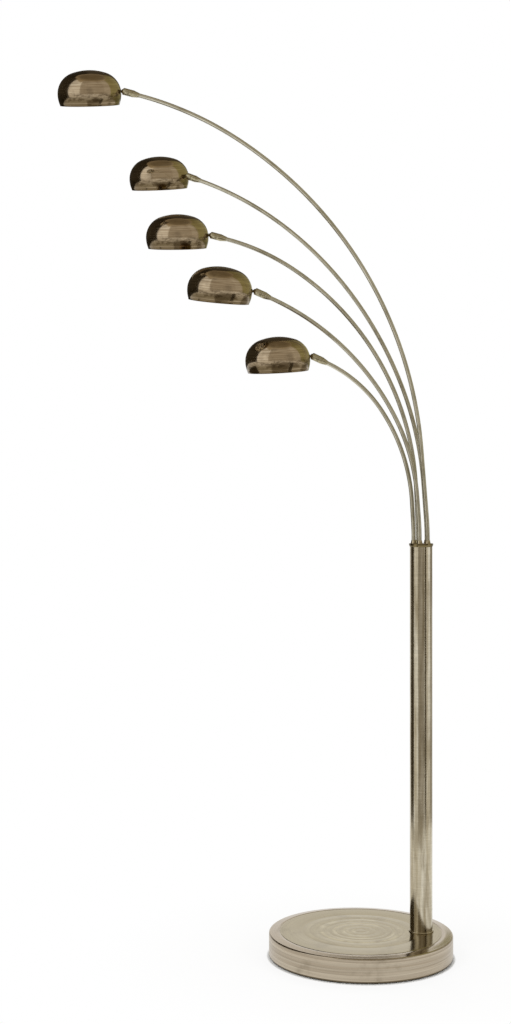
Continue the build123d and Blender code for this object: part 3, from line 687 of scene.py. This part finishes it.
def make_bare_steel():
    """Zinc-plated steel of the inner parts and screws."""
    material, build, surface = new_material("zinc_steel", Metallic=1.0)
    place = piece_place(build)
    cloud = build.noise(place, 60.0, 4.0, 0.6)
    fine = build.noise(place, 1400.0, 2.0)
    worn = use(build, edge_wear, {"Vector": place, "Width": 0.0005})["Edges"]
    paint = build.mix(build.spread(cloud, 0.35, 0.65), rgb(172, 174, 172), rgb(140, 140, 132))
    build.put(surface, "Base Color", build.mix(worn, paint, rgb(210, 210, 206)))
    build.put(surface, "Roughness", build.spread(fine, 0.3, 0.7, 0.3, 0.48))
    relief(build, surface, fine, 0.00004)
    return material


def make_cast_iron():
    """Rough painted casting of the weight."""
    material, build, surface = new_material("cast_iron_black", Metallic=0.0, Specular_IOR_Level=0.4)
    place = piece_place(build)
    lumps = build.noise(place, 320.0, 5.0, 0.65)
    paint = build.mix(build.spread(lumps, 0.4, 0.7), rgb(52, 50, 48), rgb(78, 74, 70))
    build.put(surface, "Base Color", paint)
    build.put(surface, "Roughness", build.spread(lumps, 0.3, 0.7, 0.6, 0.8))
    relief(build, surface, lumps, 0.0006)
    return material


def make_frosted_glass():
    """Bulb: frosted inside, so light spreads but shapes behind it blur."""
    material, build, surface = new_material(
        "frosted_glass", Metallic=0.0, Transmission_Weight=0.45, IOR=1.5
    )
    place = piece_place(build)
    frost = build.noise(place, 700.0, 3.0, 0.6)
    tint = build.mix(build.spread(frost, 0.3, 0.7), rgb(246, 244, 238), rgb(232, 229, 220))
    build.put(surface, "Base Color", tint)
    build.put(surface, "Roughness", build.spread(frost, 0.3, 0.7, 0.3, 0.42))
    relief(build, surface, frost, 0.00003)
    return material


base_side_brass = make_base_side_brass()
base_top_brass = make_base_top_brass()
column_brass = make_column_brass()
arm_brass = make_arm_brass()
shade_bronze = make_shade_bronze()
shade_lining = make_shade_lining()
zinc_steel = make_bare_steel()
cast_iron_black = make_cast_iron()
frosted_glass = make_frosted_glass()
black_rubber = make_moulding("black_rubber", rgb(38, 37, 36), rgb(92, 90, 86), 0.6, 0.8, 0.00012)
black_plastic = make_moulding("black_plastic", rgb(32, 31, 30), rgb(84, 82, 78), 0.34, 0.5, 0.00005)
white_plastic = make_moulding("white_plastic", rgb(226, 222, 210), rgb(188, 182, 168), 0.34, 0.5, 0.00005)

# ------------------------------------------------------------------ mesh making


def finish_mesh(shape, name, body, stands_for, materials, place=None, sharp=32.0):
    """Turns built geometry into a piece that rides on its body and stands for its CAD node.

    The points keep where they were before the piece was placed, which turned marks follow.
    """
    bmesh.ops.recalc_face_normals(shape, faces=shape.faces)
    mesh = bpy.data.meshes.new(name)
    shape.to_mesh(mesh)
    shape.free()
    points = [0.0] * (3 * len(mesh.vertices))
    mesh.vertices.foreach_get("co", points)
    mesh.attributes.new("own_place", "FLOAT_VECTOR", "POINT").data.foreach_set("vector", points)
    if place is not None:
        mesh.transform(place)
    mesh.polygons.foreach_set("use_smooth", [True] * len(mesh.polygons))
    mesh.set_sharp_from_angle(angle=radians(sharp))
    for material in materials:
        mesh.materials.append(material)
    piece = bpy.data.objects.new(name, mesh)
    scene.collection.objects.link(piece)
    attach(piece, body)
    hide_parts(stands_for)


def arc(centre, radius, start, end, steps):
    """Points of an arc in the profile's plane, by angle in degrees from +R toward +Z."""
    points = []
    for step in range(steps + 1):
        angle = radians(start + (end - start) * step / steps)
        points.append((centre[0] + radius * cos(angle), centre[1] + radius * sin(angle)))
    return points


def turn_profile(profile, segments, closed=True, paint=None):
    """Solid of revolution about Z from (radius, height) points in millimetres.

    closed joins the last point to the first. paint(index) gives the material index of the band
    that starts at that point.
    """
    shape = bmesh.new()
    layer = shape.loops.layers.uv.new("lengthwise")
    rings = []
    run = 0.0
    lengths = []
    for index, (radius, height) in enumerate(profile):
        if index:
            before = profile[index - 1]
            run += sqrt((radius - before[0]) ** 2 + (height - before[1]) ** 2) * MM
        lengths.append(run)
        if radius < 1e-6:
            rings.append([shape.verts.new((0, 0, height * MM))])
            continue
        ring = []
        for step in range(segments):
            angle = 2 * pi * step / segments
            point = (radius * MM * cos(angle), radius * MM * sin(angle), height * MM)
            ring.append(shape.verts.new(point))
        rings.append(ring)
    pairs = [(index, index + 1) for index in range(len(profile) - 1)]
    if closed:
        pairs.append((len(profile) - 1, 0))
    for start, end in pairs:
        first, second = rings[start], rings[end]
        if len(first) == 1 and len(second) == 1:
            continue
        for step in range(segments):
            after = (step + 1) % segments
            corners = [(first[step % len(first)], step, start)]
            if len(first) > 1:
                corners.append((first[after], step + 1, start))
            if len(second) > 1:
                corners.append((second[after], step + 1, end))
            corners.append((second[step % len(second)], step, end))
            face = shape.faces.new([corner[0] for corner in corners])
            face.material_index = paint(start) if paint else 0
            for loop, (_, turn, level) in zip(face.loops, corners):
                loop[layer].uv = (turn / segments, lengths[level])
    return shape


def frame_matrix(origin, x_axis, y_axis, z_axis):
    """Placement from an origin in millimetres and three directions."""
    turn = Matrix((x_axis, y_axis, z_axis)).transposed().to_4x4()
    return Matrix.Translation(Vector(origin) * MM) @ turn


def along_axis(distance):
    """Placement a distance in millimetres further along Z."""
    return Matrix.Translation((0, 0, distance * MM))


def softened(node, body, material, width=0.3, place=None):
    """A CAD node's own shape with its sharp edges rounded off by a small width in millimetres."""
    shape = bmesh.new()
    shape.from_mesh(nodes[node].data)
    if place is not None:
        shape.transform(place.inverted())
    bmesh.ops.remove_doubles(shape, verts=shape.verts, dist=1e-7)
    bmesh.ops.dissolve_limit(
        shape, angle_limit=radians(0.5), verts=shape.verts, edges=shape.edges
    )
    sharp = [e for e in shape.edges if e.is_manifold and e.calc_face_angle() > radians(40)]
    bmesh.ops.bevel(
        shape,
        geom=sharp,
        offset=width * MM,
        offset_type="OFFSET",
        segments=2,
        profile=0.5,
        affect="EDGES",
        clamp_overlap=True,
    )
    finish_mesh(shape, node + "_dressed", body, node, [material], place, sharp=30.0)


# ------------------------------------------------------------------ base


RING_RADII = (14.0, 38.0, 61.0, 78.0, 102.0, 139.0)
RING_SECTION = ((-1.4, 0.0), (-0.7, 0.07), (0.0, 0.1), (0.7, 0.07), (1.4, 0.0))
EDGE_STEPS = 10


def base_shell_profile():
    """Spun cover: turned rings on the top, a groove, a sloping rim and a rounded edge.

    Its second result is the point, half way round the edge, from which the side's finish starts.
    """
    rim_start = BASE_RADIUS - RIM_WIDTH
    rim_end = BASE_RADIUS - EDGE_ROUND
    rim_z = BASE_TOP - RIM_DROP
    inner_radius = BASE_RADIUS - SHELL_WALL
    under_top = BASE_TOP - SHELL_WALL
    top = [(0.0, BASE_TOP)]
    for radius in RING_RADII:
        top += [(radius + out, BASE_TOP - deep) for out, deep in RING_SECTION]
    groove = [
        (rim_start - 0.5, BASE_TOP),
        (rim_start - 0.1, BASE_TOP - 0.3),
        (rim_start + 0.2, BASE_TOP - 0.6),
        (rim_start + 1.8, BASE_TOP - 0.6),
        (rim_start + 2.1, BASE_TOP - 0.3),
        (rim_start + 2.6, BASE_TOP - 0.06),
        (rim_start + 9.0, BASE_TOP - 0.72),
        (rim_start + 16.0, BASE_TOP - 1.5),
    ]
    edge = arc((rim_end, rim_z - EDGE_ROUND), EDGE_ROUND, 90, 0, EDGE_STEPS)
    side = [(BASE_RADIUS, z) for z in (44.0, 30.0, 16.0, 5.4)]
    hem = [(BASE_RADIUS - 0.25, 4.2), (BASE_RADIUS - 0.8, SHELL_BOTTOM), (inner_radius, SHELL_BOTTOM)]
    inside = [(inner_radius, rim_z - EDGE_ROUND), (rim_end, rim_z - SHELL_WALL)]
    inside += [(rim_start, under_top), (0.0, under_top)]
    profile = top + groove + edge + side + hem + inside
    return profile, len(top) + len(groove) + EDGE_STEPS // 2


def make_base():
    """Cover of the base, with one finish on its top and another on its side."""
    profile, side_start = base_shell_profile()
    shape = turn_profile(profile, 192, closed=False, paint=lambda index: int(index >= side_start))
    finish_mesh(
        shape, "base_shell_turned", "stand", "base_shell",
        [base_top_brass, base_side_brass],
    )


make_base()

# ------------------------------------------------------------------ column

column_place = Matrix.Translation((COLUMN_X * MM, 0, 0))


def make_column():
    """Drawn tube in bands of even height, and the turned ring at its foot."""
    band, segments = 20.0, 96
    outside = []
    level = BASE_TOP
    while level < COLUMN_TOP - band / 2:
        outside.append((COLUMN_RADIUS, level))
        level += band
    outside.append((COLUMN_RADIUS, COLUMN_TOP))
    bore = COLUMN_RADIUS - COLUMN_WALL
    finish_mesh(
        turn_profile(outside + [(bore, COLUMN_TOP), (bore, BASE_TOP)], segments), "column_drawn",
        "stand", "column_tube", [column_brass], column_place,
    )

    ring_bore = COLUMN_RADIUS + 0.05
    ring = [(ring_bore, BASE_TOP), (29.0, BASE_TOP), (29.5, BASE_TOP + 0.4)]
    ring += arc((28.3, BASE_TOP + 1.8), 1.2, 0, 90, 6)
    ring += [(ring_bore, BASE_TOP + 3.0)]
    finish_mesh(
        turn_profile(ring, segments), "column_foot_ring_turned", "stand",
        "column_foot_ring", [trim_brass], column_place,
    )


make_column()
softened("column_cap", "stand", cap_brass, 0.35, column_place)


def hole_centre(hole, height):
    """Middle of one of the five holes of the cap, the first toward the arms, at a height."""
    angle = radians(180 + 72 * hole)
    out = ARM_CIRCLE_RADIUS
    return Vector((COLUMN_X + out * cos(angle), out * sin(angle), height))


def make_bushings():
    """Trumpet-shaped bushings in the cap, one for each arm."""
    bore, depth, top = TUBE_RADIUS + 0.06, 28.0, 8.0
    profile = [(bore, -depth), (6.3, -depth), (6.3, 0.0), (7.3, 0.0), (7.3, 0.5)]
    profile += [(7.05, 1.0), (6.65, 2.2), (6.35, 3.6), (6.1, 5.2), (5.85, 6.8), (5.7, 7.6)]
    profile += [(5.5, top), (bore, top)]
    for hole in range(len(ARMS)):
        finish_mesh(
            turn_profile(profile, 40), f"arm_bushing_{hole + 1}", "stand",
            "arm_bushings", [trim_brass], Matrix.Translation(hole_centre(hole, CAP_TOP) * MM),
        )


make_bushings()

# ------------------------------------------------------------------ arms


BEND_STEP = 1.1  # degrees of bend from one ring of the tube's mesh to the next


def arm_geometry(arm):
    """Centre line of an arm's tube with its plane's normal, and the frames at its end."""
    stem = hole_centre(arm.hole, 0.0)
    reach = Vector((-cos(radians(arm.heading)), sin(radians(arm.heading)), 0))
    up = Vector((0, 0, 1))
    normal = reach.cross(up)
    points = [(0.0, height) for height in (STEM_BOTTOM, STEM_MIDDLE, BEND_START)]
    slope = 90.0

    def straight(length, steps):
        x, z = points[-1]
        for step in range(1, steps + 1):
            share = length * step / steps
            points.append((x + share * cos(radians(slope)), z + share * sin(radians(slope))))

    def bend(radius, turn):
        nonlocal slope
        x, z = points[-1]
        cx = x + radius * sin(radians(slope))
        cz = z - radius * cos(radians(slope))
        steps = max(4, round(turn / BEND_STEP))
        for step in range(1, steps + 1):
            now = radians(slope - turn * step / steps)
            points.append((cx - radius * sin(now), cz + radius * cos(now)))
        slope -= turn

    bend(LEAN_RADIUS, arm.lean)
    straight(arm.rise, 10)
    bend(arm.arch_radius, arm.arch_turn)
    bend(arm.tip_radius, arm.tip_turn)
    straight(TUBE_IN_FERRULE, 3)
    line = [stem + reach * x + up * z for x, z in points]
    ahead = (reach * cos(radians(slope)) + up * sin(radians(slope))).normalized()
    side = -normal
    tip = frame_matrix(line[-1], side, ahead.cross(side), ahead)
    ball = tip @ Matrix.Rotation(radians(-arm.roll), 4, "Z")
    pivot = ball @ along_axis(PIVOT_DISTANCE) @ Matrix.Rotation(radians(arm.tilt), 4, "X")
    return line, normal, tip, ball, pivot


def tube_shape(line, normal, outer, inner, segments=28):
    """Hollow tube along a line that lies in one plane with the given normal."""
    shape = bmesh.new()
    layer = shape.loops.layers.uv.new("lengthwise")
    walls = []
    run = [0.0]
    for before, after in zip(line, line[1:]):
        run.append(run[-1] + (after - before).length * MM)
    for radius in (outer, inner):
        rings = []
        for index, point in enumerate(line):
            behind = line[max(index - 1, 0)]
            ahead = line[min(index + 1, len(line) - 1)]
            along = (ahead - behind).normalized()
            across = normal.cross(along).normalized()
            ring = []
            for step in range(segments):
                angle = 2 * pi * step / segments
                offset = normal * cos(angle) + across * sin(angle)
                ring.append(shape.verts.new((point + offset * radius) * MM))
            rings.append(ring)
        walls.append(rings)
    for rings, outward in zip(walls, (True, False)):
        for index in range(len(rings) - 1):
            for step in range(segments):
                after = (step + 1) % segments
                corners = [
                    (rings[index][step], step, index),
                    (rings[index][after], step + 1, index),
                    (rings[index + 1][after], step + 1, index + 1),
                    (rings[index + 1][step], step, index + 1),
                ]
                if not outward:
                    corners.reverse()
                face = shape.faces.new([corner[0] for corner in corners])
                for loop, (_, turn, level) in zip(face.loops, corners):
                    loop[layer].uv = (turn / segments, run[level])
    for end in (0, -1):
        outside, inside = walls[0][end], walls[1][end]
        for step in range(segments):
            after = (step + 1) % segments
            shape.faces.new([outside[step], outside[after], inside[after], inside[step]])
    return shape


def ferrule_profile():
    """Turned sleeve: a thin bead and a taper toward the tube, a fine groove, a chamfered mouth.

    Behind the mouth are the ball's cup, the partition with the bore of its stem, and the tube.
    """
    start, bore, wide, front = -TUBE_IN_FERRULE, TUBE_RADIUS + 0.05, FERRULE_RADIUS, FERRULE_FRONT
    partition_back, partition_front = PARTITION
    profile = [(bore, start), (5.5, start), (5.9, start + 0.3), (6.0, start + 0.9), (5.9, start + 1.5)]
    profile += [(5.85, start + 1.9), (6.4, start + 4.5), (7.2, start + 8.5), (7.95, start + 12.0)]
    profile += [(wide, start + 14.0), (wide, 1.0), (8.2, 1.3), (8.1, 1.7), (8.1, 2.3), (8.2, 2.7)]
    profile += [(wide, 3.0), (wide, front - 1.4), (8.28, front - 1.14), (7.14, front - 0.03)]
    profile += [(6.9, front), (CUP_RADIUS, front - 0.1), (CUP_RADIUS, partition_front)]
    profile += [(PARTITION_BORE, partition_front), (PARTITION_BORE, partition_back)]
    profile += [(bore, partition_back)]
    return profile


# ------------------------------------------------------------------ shades

SKIRT_RADIUS = (RIM_INSET**2 + WIDEST**2) / (2 * RIM_INSET)
SHOULDER_X = SHADE_RADIUS - SHOULDER_RADIUS
CROWN_RISE = sqrt((CROWN_RADIUS - SHOULDER_RADIUS) ** 2 - SHOULDER_X**2)
CROWN_SPREAD = degrees(atan2(SHOULDER_X, CROWN_RISE))
CROWN_STEPS, SHOULDER_STEPS, SKIRT_STEPS = 8, 26, 12


def dome_points(inset):
    """Half outline of the dome, from the middle of its crown to its rim."""
    skirt_turn = degrees(asin(WIDEST / (SKIRT_RADIUS - inset)))
    crown_end = 90 - CROWN_SPREAD
    points = arc((0, WIDEST - CROWN_RISE), CROWN_RADIUS - inset, 90, crown_end, CROWN_STEPS)
    points[0] = (0.0, points[0][1])
    points += arc((SHOULDER_X, WIDEST), SHOULDER_RADIUS - inset, crown_end, 0, SHOULDER_STEPS)[1:]
    skirt_centre = (SHADE_RADIUS - SKIRT_RADIUS, WIDEST)
    points += arc(skirt_centre, SKIRT_RADIUS - inset, 0, -skirt_turn, SKIRT_STEPS)[1:]
    return points


def shade_profile():
    """Dome with a rolled rim. Its second result is the point where the lining's finish starts."""
    outside = dome_points(0.0)
    inside = dome_points(SHADE_WALL)
    roll_radius, above_roll = 0.9, 1.4
    roll = arc((outside[-1][0] - 0.2, roll_radius), roll_radius, 0, -180, 8)
    outside = [point for point in outside if point[1] > above_roll]
    inside = [point for point in inside if point[1] > above_roll]
    return outside + roll + inside[::-1], len(outside) + 6


def holder_profile():
    """Lamp holder body with a bead, ribs near its front and a recessed mouth."""
    nose = HOLDER_NOSE
    front = nose + HOLDER_LENGTH
    stud_bore, stud_end, mouth, mouth_depth = 3.05, 12.6, 7.3, 25.0
    profile = [(stud_bore, 0.0), (4.6, 0.0), (HOLDER_NOSE_RADIUS, 0.4), (HOLDER_NOSE_RADIUS, nose)]
    profile += [(10.5, nose), (11.6, nose + 0.4), (12.6, nose + 1.2)]
    profile += [(12.6, nose + 14.0), (12.9, nose + 14.5), (12.9, nose + 16.5), (12.6, nose + 17.0)]
    level = nose + 18.0
    while level < front - 3:
        profile += [(12.5, level), (12.95, level + 0.7), (12.95, level + 1.3), (12.5, level + 2.0)]
        level += 2.4
    profile += [(12.6, front - 0.9), (12.2, front - 0.2), (11.6, front), (8.3, front)]
    profile += [(mouth, front - 0.8), (mouth, front - mouth_depth), (0.0, front - mouth_depth)]
    profile += [(0.0, stud_end), (stud_bore, stud_end)]
    return profile


def bulb_profiles():
    """Glass envelope and screw cap of the bulb, in heights above the cap's contact."""
    radius, centre, neck, wall, steps = BULB_RADIUS, BULB_LENGTH - BULB_RADIUS, 12.0, 1.0, 40
    neck_z = centre - sqrt(radius**2 - neck**2)
    glass = [(0.0, BULB_LENGTH)]
    neck_angle = degrees(asin((neck_z - centre) / radius))
    glass += arc((0, centre), radius, 90, neck_angle, steps)[1:]
    glass += [(11.2, neck_z - 4.0), (9.8, 27.5), (8.0, 23.2), (8.0, 22.4)]
    glass += [(7.0, 22.4), (7.0, 23.2), (8.8, 27.8)]
    inner_radius = radius - wall
    inner_neck_angle = degrees(asin((neck_z + 0.3 - centre) / inner_radius))
    glass += arc((0, centre), inner_radius, inner_neck_angle, 90, steps)[:-1]
    glass += [(0.0, BULB_LENGTH - wall)]
    cap_top, thread_start, thread_end, pitch = 22.3, 4.0, 17.0, 2.8
    cap = [(0.0, 0.0), (2.6, 0.0), (3.4, 0.8), (4.6, 1.4), (6.0, 2.6)]
    level = thread_start
    while level < thread_end:
        cap += [(6.3, level), (6.9, level + 1.0), (6.9, level + 1.4), (6.3, level + 2.4)]
        level += pitch
    cap += [(6.8, 19.0), (7.0, 20.0), (7.0, cap_top), (0.0, cap_top)]
    return glass, cap


def make_shade(name, shade, pivot):
    """Spun shade with its stud, lamp holder and bulb, which tilt together on the pivot."""
    softened(name + "_shade_stud", shade, knuckle_brass, 0.2, pivot)
    centre = PIVOT_TO_SHADE + SHADE_RADIUS
    level = Matrix.Translation((0, -STUD_HEIGHT * MM, centre * MM))
    profile, lining_start = shade_profile()
    finish_mesh(
        turn_profile(profile, 128, closed=False, paint=lambda index: int(index >= lining_start)),
        name + "_shade_spun", shade, name + "_shade",
        [shade_bronze, shade_lining], pivot @ level @ Matrix.Rotation(radians(-90), 4, "X"), sharp=50.0,
    )

    inside = SHOULDER_RADIUS - SHADE_WALL
    nose_height = STUD_HEIGHT + HOLDER_NOSE_RADIUS - WIDEST
    seat = SHOULDER_X + sqrt(inside**2 - nose_height**2) - HOLDER_GAP
    holder_start = centre - seat
    finish_mesh(
        turn_profile(holder_profile(), 64), name + "_lamp_holder_moulded", shade,
        name + "_lamp_holder", [black_plastic], pivot @ along_axis(holder_start),
    )

    bulb_start = holder_start + HOLDER_NOSE + HOLDER_LENGTH - BULB_IN_HOLDER
    glass, cap = bulb_profiles()
    finish_mesh(
        turn_profile(glass, 64, closed=False), name + "_bulb_glass", shade,
        name + "_bulb", [frosted_glass], pivot @ along_axis(bulb_start), sharp=60.0,
    )
    finish_mesh(
        turn_profile(cap, 48, closed=False), name + "_bulb_cap", shade,
        name + "_bulb", [zinc_steel], pivot @ along_axis(bulb_start),
    )


def make_arm(arm):
    """Bent tube with its ferrule, and the slotted ball and pin that carry the shade."""
    name, swivel = f"arm{arm.number}", f"swivel{arm.number}"
    line, normal, tip, ball, pivot = arm_geometry(arm)
    finish_mesh(
        tube_shape(line, normal, TUBE_RADIUS, TUBE_RADIUS - TUBE_WALL), name + "_tube_bent", name,
        name + "_tube", [arm_brass],
    )
    finish_mesh(
        turn_profile(ferrule_profile(), 56), name + "_ferrule_turned", name,
        name + "_ferrule", [ferrule_brass], tip,
    )
    softened(name + "_swivel_ball", swivel, knuckle_brass, 0.2, ball)
    softened(name + "_pivot_pin", swivel, zinc_steel, 0.15, ball)
    make_shade(name, f"shade{arm.number}", pivot)


for arm in ARMS:
    make_arm(arm)

# ------------------------------------------------------------------ other CAD pieces

dimmer_place = (
    Matrix.Translation((COLUMN_X * MM, 0, DIMMER_HEIGHT * MM))
    @ Matrix.Rotation(radians(DIMMER_HEADING), 4, "Z")
    @ Matrix.Rotation(radians(90), 4, "Y")
)

softened("dimmer_knob", "dimmer", knob_bronze, 0.3, dimmer_place)
softened("dimmer_nut", "stand", zinc_steel, 0.2)
softened("base_screws", "stand", zinc_steel, 0.2)
softened("base_feet", "stand", black_rubber, 0.5)
softened("terminal_block", "stand", white_plastic, 0.4)
for node, material in (
    ("base_weight", cast_iron_black),
    ("base_bottom_plate", zinc_steel),
    ("cord_grommet", black_rubber),
    ("column_foot_plug", zinc_steel),
    ("column_bolt", zinc_steel),
    ("arm_seat_disc", zinc_steel),
    ("seat_rod", zinc_steel),
    ("seat_nuts", zinc_steel),
    ("dimmer_body", black_plastic),
    ("dimmer_shaft", zinc_steel),
):
    mesh = nodes[node].data
    mesh.materials.clear()
    mesh.materials.append(material)
